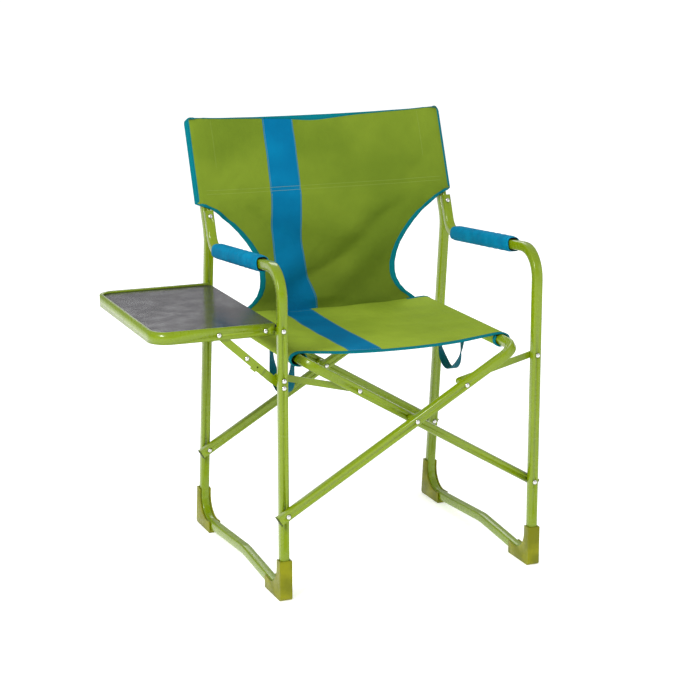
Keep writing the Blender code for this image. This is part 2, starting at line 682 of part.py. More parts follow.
def cut_out(sign):
    """One side's cut-out, seen from the front: a round bite that narrows the back to its waist."""
    outer = HALF_W + 0.05
    corners = [
        (outer, SLEEVE_FOOT_Z - 0.003),
        (WAIST_HALF + 0.088, SLEEVE_FOOT_Z - 0.003),
        (WAIST_HALF, 0.610),
        (WAIST_HALF, 0.488),
        (BACK_BOTTOM_HALF, 0.478),
        (BACK_BOTTOM_HALF, BACK_BOTTOM_Z - 0.02),
        (outer, BACK_BOTTOM_Z - 0.02),
    ]
    path = rounded(corners, [0, 0.02, 0.07, 0.018, 0, 0, 0], closed=True, step=15)
    return [(sign * u, v) for u, v in path]


def strap(side, sign, carrier):
    """A webbing loop that hangs under a seat rail: a U of flat strap in Y and Z."""
    mid = STRAP_MID_Y[side]
    top = SEAT_RAIL_Z - SLEEVE_OUT - 0.0005

    def loop(inset):
        wide, narrow, low = STRAP_HALF - inset, STRAP_HALF * 0.75 - inset, top - STRAP_DROP + inset
        corners = [(mid - wide, top), (mid - narrow, low), (mid + narrow, low), (mid + wide, top)]
        return rounded(corners, [0, STRAP_BEND - inset, STRAP_BEND - inset, 0], step=15)

    outer, inner = loop(0), loop(STRAP_T)
    x = sign * (SEAT_RAIL_X - STRAP_IN)
    obj = slab("carry_strap_" + side, [outer + inner[::-1]], "YZ", x - STRAP_W / 2, x + STRAP_W / 2)
    return finish(obj, "webbing", carrier)


# ---- assembly -----------------------------------------------------------------------------------
def build_side(side, x, carrier):
    finish(side_frame(side, x), "frame_paint", carrier)
    for place, end in (("front", -1), ("rear", 1)):
        foot_cap(f"foot_cap_{place}_{side}", end, x, carrier)
    arm_pad(side, x, carrier)
    at = Vector((x, ARM_RIVET.x, ARM_RIVET.y))
    rivet("rivet_arm_post_" + side, at, -HALF_TUBE, ARM_OFFSET + HALF_TUBE, carrier, ACROSS_POST)


def build():
    fold = pivot("fold_axis", -HALF_W, PIVOT_Z)
    cross = pivot("crossing_axis", 0, CROSS_Z)
    right = pivot("right_frame_axis", HALF_W, PIVOT_Z)
    table = pivot("table_axis", -HALF_W, HINGE_Z)
    build_side("left", -HALF_W, None)
    build_side("right", HALF_W, right)
    u_frame("scissor_frame_outer", 1, U1_FRONT_Y, U1_REAR_Y, fold)
    u_frame("scissor_frame_inner", -1, U2_FRONT_Y, U2_REAR_Y, cross)

    bars = {"front": (U1_FRONT_Y, U2_FRONT_Y), "rear": (U1_REAR_Y, U2_REAR_Y)}
    for place, (first, second) in bars.items():
        leg = FRONT_Y if place == "front" else rear_leg_y(PIVOT_Z)
        reach = HALF_TUBE + 0.001
        rivet(f"rivet_pivot_left_{place}", (-HALF_W, 0, PIVOT_Z), first - HALF_TUBE, leg + reach)
        rivet(f"rivet_pivot_right_{place}", (HALF_W, 0, PIVOT_Z), leg - reach, second + HALF_TUBE, right)
        rivet(f"rivet_crossing_{place}", (0, 0, CROSS_Z), first - HALF_TUBE, second + HALF_TUBE, fold)
        spacer(f"crossing_spacer_{place}", 1, HALF_BAR, first + HALF_TUBE, second - HALF_TUBE, fold)
        leg = FRONT_Y if place == "front" else rear_leg_y(LINK_Z)
        rear_face, front_face = leg + HALF_TUBE, leg - HALF_TUBE
        if place == "front":
            left_plate = second + HALF_TUBE + GAP  # behind the inner frame's bar
            right_plate = rear_face + GAP + 0.0003  # behind the leg
        else:
            left_plate = second - HALF_TUBE - GAP - PLATE  # in front of the inner frame's bar
            right_plate = first + HALF_TUBE + GAP + 0.0005
        axis = pivot(f"link_axis_left_{place}", -HALF_W, LINK_Z)
        link(f"link_left_{place}", "left", left_plate, True, rear_face + 0.0012, axis)
        rivet(f"rivet_link_leg_left_{place}", (-HALF_W, 0, LINK_Z), front_face - 0.0011, left_plate + PLATE)
        x, z = on_bar(-1, LINK_ALONG)
        facing = 1 if place == "front" else -1
        low, high = second * facing - HALF_TUBE, second * facing + IN_TUBE
        rivet(f"rivet_link_bar_left_{place}", (x, 0, z), low, high, cross, (0, facing, 0))
        axis = pivot(f"link_axis_right_{place}", HALF_W, LINK_Z)
        if place == "front":
            link(f"link_right_{place}", "right", right_plate, False, first + HALF_TUBE + GAP, axis)
        else:
            link(f"link_right_{place}", "right", right_plate, True, rear_face + 0.0012, axis)
        low, high = sorted((front_face - 0.0011, right_plate + PLATE))
        rivet(f"rivet_link_leg_right_{place}", (HALF_W, 0, LINK_Z), low, max(high, rear_face + 0.0011), right)
        x, z = on_bar(1, LINK_ALONG)
        rivet(f"rivet_link_bar_right_{place}", (x, 0, z), first - HALF_TUBE, first + IN_TUBE, fold)

    table_rim(table)
    table_board(table)
    front_in, back_in = TABLE_FRONT_Y + RIM_WALL + GAP, TABLE_BACK_Y - RIM_WALL - GAP
    front_leg, rear_leg = FRONT_Y + HALF_TUBE, rear_leg_y(HINGE_Z) - HALF_TUBE
    hinge_bracket("front", front_in, 1, front_leg + GAP, table)
    hinge_bracket("rear", back_in, -1, rear_leg - 0.0012, table)
    rivet("rivet_table_hinge_front", (-HALF_W, 0, HINGE_Z), FRONT_Y - HALF_TUBE, front_in + PLATE)
    rivet("rivet_table_hinge_rear", (-HALF_W, 0, HINGE_Z), back_in - PLATE, rear_leg + TUBE + 0.002)
    rivet("rivet_rim_bracket_front", (BRACKET_X, 0, BRACKET_Z), TABLE_FRONT_Y, front_in + PLATE, table)
    rivet("rivet_rim_bracket_rear", (BRACKET_X, 0, BRACKET_Z), back_in - PLATE, TABLE_BACK_Y, table)

    middle = strut_middle()
    strut_leg = rear_leg_y(STRUT_Z) - HALF_TUBE
    layers = {
        "front": (front_in, front_in + PLATE + GAP, front_leg + GAP, TABLE_FRONT_Y, FRONT_Y - HALF_TUBE),
        "rear": (TABLE_BACK_Y + GAP, TABLE_BACK_Y + PLATE + 2 * GAP, strut_leg - 0.0012, back_in + GAP, None),
    }
    for place, (upper_y, lower_y, leg_face, rim_face, leg_front) in layers.items():
        lower_axis = pivot(f"strut_lower_axis_{place}", -HALF_W, STRUT_Z)
        upper_axis = pivot(f"strut_upper_axis_{place}", STRUT_RIM_X, STRUT_RIM_Z)
        struts(place, upper_y, lower_y, leg_face, (upper_axis, lower_axis))
        rivet(f"rivet_strut_rim_{place}", (STRUT_RIM_X, 0, STRUT_RIM_Z), rim_face, upper_y + PLATE, table)
        rivet(f"rivet_strut_middle_{place}", (middle.x, 0, middle.y), upper_y, upper_y + PLATE, upper_axis,
              tail=False)
        if leg_front is not None:
            rivet(f"rivet_strut_leg_{place}", (-HALF_W, 0, STRUT_Z), leg_front, lower_y + PLATE)
        else:
            rivet(f"rivet_strut_leg_{place}", (-HALF_W, 0, STRUT_Z), lower_y, strut_leg + TUBE + 0.002)

    seat_fabric(fold)
    back_fabric()
    strap("left", -1, cross)
    strap("right", 1, fold)


clear_scene()
PARTS = new_collection("director_chair")
CUTTERS = new_collection("cutters", hidden=True)
ORIGIN = bpy.data.objects.new("chair_origin", None)
ORIGIN.location = (CHAIR_X, CHAIR_Y, 0)
PARTS.objects.link(ORIGIN)
build()
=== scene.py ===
"""The director chair's looks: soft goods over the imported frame, materials, light and camera.

Lengths are metres. Positions are in chair coordinates, whose middle lies between the side frames; at() moves
them into the row's frame, which is centred on the whole object, side table included.
"""

import math

import bpy
import numpy as np
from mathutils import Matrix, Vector


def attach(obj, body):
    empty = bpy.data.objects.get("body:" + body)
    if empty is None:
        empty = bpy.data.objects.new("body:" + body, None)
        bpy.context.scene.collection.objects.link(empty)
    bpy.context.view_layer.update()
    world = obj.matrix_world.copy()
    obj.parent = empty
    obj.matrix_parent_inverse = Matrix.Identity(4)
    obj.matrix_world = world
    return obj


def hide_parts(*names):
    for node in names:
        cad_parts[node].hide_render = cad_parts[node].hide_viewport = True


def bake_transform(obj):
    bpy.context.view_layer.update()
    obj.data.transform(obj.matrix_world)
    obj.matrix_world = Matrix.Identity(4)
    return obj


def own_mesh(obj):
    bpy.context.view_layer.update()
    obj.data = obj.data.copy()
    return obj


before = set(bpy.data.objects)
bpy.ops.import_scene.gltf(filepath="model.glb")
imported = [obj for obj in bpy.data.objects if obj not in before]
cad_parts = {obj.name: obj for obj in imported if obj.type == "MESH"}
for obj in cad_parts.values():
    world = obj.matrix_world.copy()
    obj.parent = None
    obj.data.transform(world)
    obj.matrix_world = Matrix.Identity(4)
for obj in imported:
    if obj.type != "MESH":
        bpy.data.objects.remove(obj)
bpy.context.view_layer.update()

# ---- where the chair is ---------------------------------------------------------------------------
SHIFT = np.array([0.1119, 0.0017, 0.0])
HALF_W, HALF_TUBE = 0.265, 0.009
RAIL_X, RAIL_Z = 0.212, 0.4584
ARM_FRONT_Y, ARM_FRONT_Z, ARM_SLOPE = -0.2515, 0.6448, 0.083
KINK_Y, KINK_Z, POST_LEAN = 0.1758, 0.635, 0.40
POST = np.array([0.0, POST_LEAN, 1.0]) / math.hypot(POST_LEAN, 1)  # up along a back post
POST_FRONT = np.array([0.0, -POST[2], POST[1]])  # out of its front face


def at(x, y, z):
    """A place in chair coordinates, moved into the row's frame."""
    return Vector((x, y, z)) + Vector(SHIFT)


# ---- camera and light -----------------------------------------------------------------------------
ROOM = (0.3, 0.7)  # the room's brightness above the horizon's band and overhead
FLOOR_GLOW = 0.5
SHADE = 0.80  # albedo for each unit of a colour as it looks under these lamps


def make_camera():
    data = bpy.data.cameras.new("camera")
    data.sensor_width, data.lens = 36, 100.45
    camera = bpy.data.objects.new("camera", data)
    camera.location = at(-1.4848, -3.5631, 1.3577)
    camera.rotation_euler = (at(-0.026, 0, 0.4131) - camera.location).to_track_quat("-Z", "Y").to_euler()
    bpy.context.collection.objects.link(camera)
    bpy.context.scene.camera = camera


def area_light(name, place, power, size):
    data = bpy.data.lights.new(name, "AREA")
    data.energy, data.size = power, size
    lamp = bpy.data.objects.new(name, data)
    lamp.location = place
    lamp.rotation_euler = (at(0, 0, 0.45) - lamp.location).to_track_quat("-Z", "Y").to_euler()
    bpy.context.collection.objects.link(lamp)


def make_studio():
    """A soft room, bright overhead and in a band at the horizon, with three large lamps on a pale floor."""
    world = bpy.data.worlds.new("studio")
    world.use_nodes = True
    background = world.node_tree.nodes["Background"]
    t = Tree(world.node_tree)
    height = t.node("SeparateXYZ", t.node("TexCoord").outputs["Generated"]).outputs[2]
    horizon = t.ramp(height, 0.06, 0.14, 1.0, 0.0)
    t.put(background.inputs["Strength"], t.math("MAXIMUM", horizon, t.ramp(height, 0.1, 0.7, *ROOM)))
    background.inputs["Color"].default_value = (1, 1, 1, 1)
    bpy.context.scene.world = world
    bpy.context.scene.view_settings.view_transform = "Standard"
    area_light("key", at(-2.4, -1.9, 2.6), 88, 1.0)
    area_light("fill", at(2.6, -2.4, 1.6), 16, 2.0)
    area_light("rim", at(0.8, 2.8, 2.4), 22, 1.6)
    bpy.ops.mesh.primitive_plane_add(size=120, location=(0, 0, -0.0005))
    floor = bpy.context.object
    floor.name = "floor"
    floor.data.materials.append(plain_floor())


def plain_floor():
    material, _, shader = new_material("floor_paper", 0.75)
    shader.inputs["Base Color"].default_value = (0.92, 0.92, 0.92, 1)
    shader.inputs["Emission Color"].default_value = (1, 1, 1, 1)
    shader.inputs["Emission Strength"].default_value = FLOOR_GLOW
    return material


# ---- shader helpers -------------------------------------------------------------------------------
def new_material(name, roughness, metallic=0.0):
    material = bpy.data.materials.new(name)
    material.use_nodes = True
    shader = material.node_tree.nodes["Principled BSDF"]
    shader.inputs["Roughness"].default_value = roughness
    shader.inputs["Metallic"].default_value = metallic
    return material, Tree(material.node_tree), shader


class Tree:
    """Short names for the nodes that the materials use."""

    def __init__(self, tree):
        self.tree = tree

    def put(self, socket, value):
        if isinstance(value, bpy.types.NodeSocket):
            self.tree.links.new(value, socket)
        elif value is not None:
            socket.default_value = value

    def node(self, kind, *inputs, **settings):
        made = self.tree.nodes.new("ShaderNode" + kind)
        for key, value in settings.items():
            setattr(made, key, value)
        for socket, value in zip(made.inputs, inputs):
            self.put(socket, value)
        return made

    def math(self, operation, a, b=None, c=None):
        return self.node("Math", a, b, c, operation=operation).outputs[0]

    def between(self, value, low, high, soft):
        """1 where value lies between low and high, with edges this soft."""
        rise = self.ramp(value, low - soft, low + soft)
        fall = self.ramp(value, high - soft, high + soft)
        return self.math("SUBTRACT", rise, fall)

    def ramp(self, value, low, high, to_low=0.0, to_high=1.0):
        made = self.tree.nodes.new("ShaderNodeMapRange")
        made.interpolation_type = "SMOOTHSTEP"
        for index, number in enumerate((value, low, high, to_low, to_high)):
            self.put(made.inputs[index], number)
        return made.outputs[0]

    def mix(self, factor, a, b, blend="MIX"):
        made = self.tree.nodes.new("ShaderNodeMix")
        made.data_type, made.blend_type = "RGBA", blend
        for index, value in ((0, factor), (6, a), (7, b)):
            self.put(made.inputs[index], value)
        return made.outputs[2]

    def noise(self, vector, scale, detail=3.0, roughness=0.5):
        made = self.tree.nodes.new("ShaderNodeTexNoise")
        self.put(made.inputs["Vector"], vector)
        made.inputs["Scale"].default_value = scale
        made.inputs["Detail"].default_value = detail
        made.inputs["Roughness"].default_value = roughness
        return made.outputs[0]

    def place(self):
        return self.node("TexCoord").outputs["Object"]

    def cloth(self):
        """The cloth's own coordinates, in metres, which stay with it as it moves."""
        made = self.tree.nodes.new("ShaderNodeUVMap")
        made.uv_map = "cloth"
        split = self.node("SeparateXYZ", made.outputs[0])
        return split.outputs[0], split.outputs[1]

    def bump(self, shader, height, distance, strength=1.0, under=None):
        made = self.tree.nodes.new("ShaderNodeBump")
        made.inputs["Strength"].default_value = strength
        made.inputs["Distance"].default_value = distance
        self.put(made.inputs["Height"], height)
        if under is not None:
            self.put(made.inputs["Normal"], under)
        self.tree.links.new(made.outputs[0], shader.inputs["Normal"])
        return made.outputs[0]


def hue(r, g, b):
    """The linear albedo that looks like this sRGB colour, 0 to 255, under the lamps."""
    linear = (c / 255 / 12.92 if c <= 10 else ((c / 255 + 0.055) / 1.055) ** 2.4 for c in (r, g, b))
    return (*(c * SHADE for c in linear), 1)


# ---- hard materials -------------------------------------------------------------------------------
def powder_coat():
    """Glossy yellow-green powder coat: orange peel, faint unevenness, and a few fine scuffs."""
    material, t, shader = new_material("powder_coat", 0.28)
    place = t.place()
    cloud = t.noise(place, 6, 2)
    colour = t.mix(t.ramp(cloud, 0.3, 0.7), hue(128, 153, 2), hue(136, 161, 5))
    fleck = t.ramp(t.noise(place, 1400, 1), 0.68, 0.8)
    colour = t.mix(t.math("MULTIPLY", fleck, 0.10), colour, hue(150, 176, 40))
    scuff = t.ramp(t.noise(place, 75, 6, 0.7), 0.66, 0.72)
    colour = t.mix(t.math("MULTIPLY", scuff, 0.10), colour, hue(100, 122, 14))
    t.put(shader.inputs["Base Color"], colour)
    t.put(shader.inputs["Roughness"], t.ramp(t.noise(place, 60, 4), 0.3, 0.7, 0.22, 0.32))
    shader.inputs["Specular IOR Level"].default_value = 0.3
    shader.inputs["Coat Weight"].default_value = 0.3
    shader.inputs["Coat Roughness"].default_value = 0.07
    t.bump(shader, t.noise(place, 420, 2), 0.00006, 0.2)
    return material


def rivet_metal():
    """Bright nickel plate with fine handling marks."""
    material, t, shader = new_material("rivet_metal", 0.2, 1.0)
    place = t.place()
    t.put(shader.inputs["Base Color"], t.mix(t.noise(place, 300, 3), hue(225, 226, 224), hue(244, 244, 242)))
    t.put(shader.inputs["Roughness"], t.ramp(t.noise(place, 700, 4), 0.3, 0.7, 0.14, 0.34))
    t.bump(shader, t.noise(place, 900, 3), 0.00004, 0.4)
    return material


def moulded_plastic(name, low, high, roughness):
    """Moulded plastic with a fine spark-eroded grain and scuffs towards the floor."""
    material, t, shader = new_material(name, roughness)
    place = t.place()
    height = t.node("SeparateXYZ", place).outputs[2]
    colour = t.mix(t.ramp(t.noise(place, 25, 3), 0.35, 0.65), low, high)
    scuff = t.math("MULTIPLY", t.ramp(height, 0.012, 0.0), t.ramp(t.noise(place, 260, 5), 0.42, 0.62))
    colour = t.mix(t.math("MULTIPLY", scuff, 0.5), colour, hue(98, 98, 60))
    t.put(shader.inputs["Base Color"], colour)
    rough = t.ramp(t.noise(place, 180, 4), 0.3, 0.7, roughness - 0.08, roughness + 0.1)
    t.put(shader.inputs["Roughness"], rough)
    shader.inputs["Specular IOR Level"].default_value = 0.2
    t.bump(shader, t.noise(place, 1500, 2), 0.00015, 0.5)
    return material


def board_laminate():
    """The table's dark grey laminate: a fine speckled sheet with a soft sheen and faint wipe marks."""
    material, t, shader = new_material("board_laminate", 0.2)
    place = t.place()
    speckle = t.ramp(t.noise(place, 900, 2, 0.7), 0.4, 0.7)
    colour = t.mix(speckle, hue(56, 54, 60), hue(74, 72, 80))
    cloud = t.ramp(t.noise(place, 14, 4), 0.3, 0.75)
    colour = t.mix(t.math("MULTIPLY", cloud, 0.35), colour, hue(88, 86, 94))
    t.put(shader.inputs["Base Color"], colour)
    t.put(shader.inputs["Roughness"], t.ramp(t.noise(place, 30, 5), 0.3, 0.7, 0.13, 0.22))
    shader.inputs["Specular IOR Level"].default_value = 0.65
    t.bump(shader, t.noise(place, 1600, 1), 0.00004, 0.4)
    return material


# ---- cloth materials ------------------------------------------------------------------------------
def weave(t, u, v, pitch):
    """The height of a plain weave: warp over weft in turn, from 0 to 1."""
    a = t.math("SINE", t.math("MULTIPLY", u, 2 * math.pi / pitch))
    b = t.math("SINE", t.math("MULTIPLY", v, 2 * math.pi / pitch))
    return t.math("MULTIPLY_ADD", t.math("MULTIPLY", a, b), 0.5, 0.5)


def stitch_row(t, along, across, place, low, high, length=0.0042):
    """A row of stitches at one place across, running along: 1 on a thread."""
    wave = t.math("SINE", t.math("MULTIPLY", along, 2 * math.pi / length))
    dash = t.ramp(wave, -0.5, -0.1)
    line = t.between(across, place - 0.0005, place + 0.0005, 0.0002)
    return t.math("MULTIPLY", t.math("MULTIPLY", line, dash), t.between(along, low, high, 0.0005))


def brightest(t, values):
    """The highest of these values at each point, so that stitch rows can cross."""
    highest = values[0]
    for value in values[1:]:
        highest = t.math("MAXIMUM", highest, value)
    return highest


def main_fabric(name, stripe, rows, columns, light, dark, painted_low_shade=1.0):
    """Coated canvas in green with a blue stripe; painted shade can darken it towards its lower edge. rows and
    columns are stitch lines in cloth coordinates.
    """
    material, t, shader = new_material(name, 0.8)
    u, v = t.cloth()
    place = t.place()
    green = t.mix(t.ramp(t.noise(place, 7, 4), 0.3, 0.7), dark, light)
    low, high, low_top, high_top, top = stripe
    share = t.math("DIVIDE", v, top)
    left = t.ramp(share, 0.0, 1.0, low, low_top)
    right = t.ramp(share, 0.0, 1.0, high, high_top)
    after = t.ramp(t.math("SUBTRACT", u, left), -0.0005, 0.0005)
    before = t.ramp(t.math("SUBTRACT", u, right), -0.0005, 0.0005)
    band = t.math("SUBTRACT", after, before)
    blue = t.mix(t.ramp(t.noise(place, 9, 3), 0.35, 0.65), hue(0, 128, 180), hue(2, 142, 194))
    colour = t.mix(band, green, blue)
    cloth = weave(t, u, v, 0.0011)
    thread = t.noise(place, 1500, 2)
    colour = t.mix(t.math("SUBTRACT", 1.0, cloth), colour, (0.72, 0.72, 0.72, 1), "MULTIPLY")
    colour = t.mix(thread, colour, (0.90, 0.90, 0.90, 1), "MULTIPLY")
    # painted shade: the colour darkens towards the cloth's lower edge, standing in for the shade on the
    # back's sagging lower part
    shade = t.ramp(v, 0.02, 0.26, painted_low_shade, 1.0)
    colour = t.mix(1.0, colour, t.node("CombineColor", shade, shade, shade).outputs[0], "MULTIPLY")
    lines = [stitch_row(t, u, v, *row) for row in rows] + [stitch_row(t, v, u, *column) for column in columns]
    threads = brightest(t, lines)
    colour = t.mix(t.math("MULTIPLY", threads, 0.6), colour, hue(168, 192, 96))
    t.put(shader.inputs["Base Color"], colour)
    shader.inputs["Specular IOR Level"].default_value = 0.06
    wrinkle = t.noise(place, 22, 4, 0.55)
    under = t.bump(shader, wrinkle, 0.007, 0.5)
    under = t.bump(shader, cloth, 0.00022, 0.6, under)
    t.bump(shader, threads, 0.0005, 0.8, under)
    return material


def binding_tape():
    """Ribbed teal tape folded over the fabric's edges."""
    material, t, shader = new_material("binding_tape", 0.75)
    u, v = t.cloth()
    rib = t.math("SINE", t.math("MULTIPLY", u, 2 * math.pi / 0.0012))
    colour = t.mix(t.ramp(rib, -1, 1), hue(0, 112, 126), hue(2, 138, 150))
    dash = t.ramp(t.math("SINE", t.math("MULTIPLY", u, 2 * math.pi / 0.0045)), -0.5, -0.1)
    line = t.math("MULTIPLY", t.between(v, 0.0018, 0.0027, 0.0002), dash)
    colour = t.mix(t.math("MULTIPLY", line, 0.7), colour, hue(2, 70, 84))
    t.put(shader.inputs["Base Color"], colour)
    shader.inputs["Specular IOR Level"].default_value = 0.06
    under = t.bump(shader, rib, 0.0002, 0.5)
    t.bump(shader, line, 0.0004, 0.7, under)
    return material


def webbing():
    """Woven polypropylene strap: a herringbone across its width."""
    material, t, shader = new_material("strap_webbing", 0.6)
    u, v = t.cloth()
    slant = t.math("ADD", u, t.math("ABSOLUTE", t.math("PINGPONG", v, 0.004)))
    rib = t.math("SINE", t.math("MULTIPLY", slant, 2 * math.pi / 0.0021))
    colour = t.mix(t.ramp(rib, -1, 1), hue(0, 84, 100), hue(2, 112, 128))
    t.put(shader.inputs["Base Color"], colour)
    shader.inputs["Specular IOR Level"].default_value = 0.06
    t.bump(shader, rib, 0.0004, 0.7)
    return material


def pad_fabric():
    """Blue canvas stretched over foam, with a hem stitched round the sleeve near its front end."""
    material, t, shader = new_material("pad_canvas", 0.8)
    u, v = t.cloth()
    place = t.place()
    cloth = weave(t, u, v, 0.0013)
    colour = t.mix(t.ramp(t.noise(place, 30, 4), 0.3, 0.7), hue(0, 140, 188), hue(0, 162, 210))
    colour = t.mix(t.math("SUBTRACT", 1.0, cloth), colour, (0.68, 0.68, 0.68, 1), "MULTIPLY")
    hem = stitch_row(t, v, u, 0.008, 0, 0.12)
    colour = t.mix(t.math("MULTIPLY", hem, 0.7), colour, hue(0, 74, 108))
    t.put(shader.inputs["Base Color"], colour)
    shader.inputs["Specular IOR Level"].default_value = 0.06
    under = t.bump(shader, t.noise(place, 60, 4, 0.6), 0.002, 0.4)
    under = t.bump(shader, cloth, 0.0003, 0.7, under)
    t.bump(shader, hem, 0.0005, 0.8, under)
    return material


def pad_foam():
    """Black closed-cell foam, seen where the sleeve's ends stand open."""
    material, t, shader = new_material("pad_foam", 0.95)
    place = t.place()
    cells = t.noise(place, 1100, 3)
    t.put(shader.inputs["Base Color"], t.mix(cells, hue(14, 16, 18), hue(34, 36, 38)))
    t.bump(shader, cells, 0.0004, 0.8)
    return material


# ---- cloth geometry -------------------------------------------------------------------------------
class Cloth:
    """Collects the sheets and tapes of one sewn piece as a single mesh with a cloth coordinate."""

    def __init__(self, name, materials):
        self.name, self.materials = name, materials
        self.points, self.faces, self.uvs, self.slots = [], [], [], []

    def grid(self, points, coords, slot=0, flip=False):
        """A grid of quads: points[i][j] and their cloth coordinates."""
        rows, columns = points.shape[:2]
        first = len(self.points)
        self.points += [tuple(p) for p in points.reshape(-1, 3)]
        for i in range(rows - 1):
            for j in range(columns - 1):
                ring = [(i, j), (i, j + 1), (i + 1, j + 1), (i + 1, j)]
                ring = ring[::-1] if flip else ring
                self.faces.append([first + a * columns + b for a, b in ring])
                self.uvs += [tuple(coords[a, b]) for a, b in ring]
                self.slots.append(slot)

    def sheet(self, points, coords, thickness, slot=0):
        """A grid made into cloth of this thickness, with closed edges."""
        points, coords = np.asarray(points, float), np.asarray(coords, float)
        normal = np.cross(np.gradient(points, axis=1), np.gradient(points, axis=0))
        normal /= np.linalg.norm(normal, axis=2, keepdims=True) + 1e-12
        front, back = points + normal * thickness / 2, points - normal * thickness / 2
        self.grid(front, coords, slot)
        self.grid(back, coords, slot, flip=True)
        for side, flip in ((np.s_[0], True), (np.s_[-1], False)):
            self.grid(np.stack([front[side], back[side]]), np.stack([coords[side]] * 2), slot, flip)
        for side, flip in ((np.s_[:, 0], False), (np.s_[:, -1], True)):
            self.grid(np.stack([front[side], back[side]]), np.stack([coords[side]] * 2), slot, flip)

    def tape(self, path, inward, normal, width, thickness, slot=1):
        """Binding folded over an edge: path runs along the edge, inward points into the cloth."""
        path, inward, normal = (np.asarray(a, float) for a in (path, inward, normal))
        inward = inward / np.linalg.norm(inward, axis=1, keepdims=True)
        normal = normal / np.linalg.norm(normal, axis=1, keepdims=True)
        out, half = 0.0008, thickness / 2
        section = [(width, half * 0.6), (width - 0.0012, half), (0.0008, half), (-out, half * 0.5),
                   (-out, -half * 0.5), (0.0008, -half), (width - 0.0012, -half), (width, -half * 0.6)]
        section.append(section[0])
        ring = np.stack([path + inward * a + normal * b for a, b in section], axis=1)
        run = distance_along(path)
        coords = np.stack([np.stack([run, np.full(len(run), width - a)], axis=1) for a, b in section], axis=1)
        self.grid(ring, coords, slot)
        for end in (0, -1):
            first = len(self.points)
            self.points += [tuple(p) for p in ring[end][:-1]]
            order = list(range(first, first + len(section) - 1))
            self.faces.append(order if end else order[::-1])
            self.uvs += [tuple(coords[end, 0])] * len(order)
            self.slots.append(slot)

    def build(self):
        mesh = bpy.data.meshes.new(self.name)
        shifted = np.array(self.points) + SHIFT
        mesh.from_pydata([tuple(p) for p in shifted], [], self.faces)
        layer = mesh.uv_layers.new(name="cloth")
        layer.data.foreach_set("uv", np.array(self.uvs, np.float32).reshape(-1))
        mesh.polygons.foreach_set("material_index", self.slots)
        for material in self.materials:
            mesh.materials.append(material)
        mesh.shade_smooth()
        mesh.set_sharp_from_angle(angle=math.radians(50))
        obj = bpy.data.objects.new(self.name, mesh)
        bpy.context.collection.objects.link(obj)
        return obj


def smoothstep(x, low, high):
    t = np.clip((x - low) / (high - low), 0, 1)
    return t * t * (3 - 2 * t)


def hump(x, middle, width):
    return np.exp(-(((x - middle) / width) ** 2))


def distance_along(path):
    """The distance from the path's first point to each of its points."""
    return np.concatenate([[0], np.cumsum(np.linalg.norm(np.diff(path, axis=0), axis=1))])


def arc(centre, radius, start, end, count):
    """Points on a circle, from one angle in degrees to another."""
    angles = np.radians(np.linspace(start, end, count))
    return [(centre[0] + radius * math.cos(a), centre[1] + radius * math.sin(a)) for a in angles]


# ---- seat -----------------------------------------------------------------------------------------
SEAT_FRONT, SEAT_BACK = -0.205, 0.170
SLEEVE, LOOSE = 0.0130, 0.006  # the sleeves hang loose on the rails' outer sides
SEAT_SAG, SEAT_BOW, SEAT_DROOP = 0.0065, 0.016, 0.0035
CANVAS, TAPE = 0.0018, 0.0032  # thickness of the cloth, and of the binding folded over it
SEWN_HALF = 0.172  # the back is sewn to the seat's rear edge this far from the middle


def seat_profile():
    """Across the seat in X and Z: round the left rail, over the panel, and round the right rail."""
    half = arc((RAIL_X, RAIL_Z), SLEEVE, 84, -218, 22)
    edge = np.array(half[0])
    panel = []
    for k in range(1, 32):
        x = edge[0] * (1 - k / 16)
        sag = SEAT_SAG * (1 - (x / edge[0]) ** 2)
        panel.append((x, edge[1] + 0.0004 - sag))
    half = [(x + LOOSE * float(smoothstep(x, RAIL_X, RAIL_X + SLEEVE)), z) for x, z in half]
    left = [(-x, z) for x, z in half[::-1]]
    return np.array(left + panel[::-1] + half)


def make_seat(fabric, tape):
    """The seat cover, bound along its front edge and at the rear edge's ends."""
    cloth = Cloth("seat_cover", [fabric, tape])
    profile = seat_profile()
    lengths = distance_along(profile)
    across = lengths - lengths[-1] / 2
    ys = np.linspace(SEAT_FRONT, SEAT_BACK, 48)
    x = profile[:, 0]
    on_panel = np.clip(1 - (np.abs(x) / 0.205) ** 6, 0, 1) * (profile[:, 1] > RAIL_Z)
    points, coords = [], []
    for y in ys:
        share = (y - SEAT_FRONT) / (SEAT_BACK - SEAT_FRONT)
        bow = -SEAT_BOW * (1 - (x / RAIL_X) ** 2) * (1 - share) ** 3 * on_panel
        droop = -SEAT_DROOP * hump(share, 0.55, 0.35) * on_panel
        ripple = 0.0011 * np.sin(y * 95 + x * 9) * hump(x, 0.17, 0.05) * on_panel
        ripple += 0.0008 * np.sin(y * 70 - x * 14) * hump(x, -0.16, 0.06) * on_panel
        ripple += 0.0007 * np.sin(x * 60 + y * 20) * hump(share, 0.95, 0.2) * on_panel
        lip = -0.0025 * hump(share, 0.0, 0.03) * on_panel
        points.append(np.stack([x, y + bow, profile[:, 1] + droop + ripple + lip], axis=1))
        coords.append(np.stack([across, np.full(len(across), y - SEAT_FRONT)], axis=1))
    points = np.array(points)
    cloth.sheet(points, coords, CANVAS)
    up = np.cross(np.gradient(points, axis=1), np.gradient(points, axis=0))
    cloth.tape(points[0], points[1] - points[0], up[0], 0.0095, TAPE)
    inward, sewn = points[-2] - points[-1], np.abs(x) < SEWN_HALF
    first, last = np.argmax(sewn), len(sewn) - np.argmax(sewn[::-1])
    for part in (np.s_[:first], np.s_[last:]):
        cloth.tape(points[-1][part], inward[part], up[-1][part], 0.008, TAPE)
    return cloth.build()


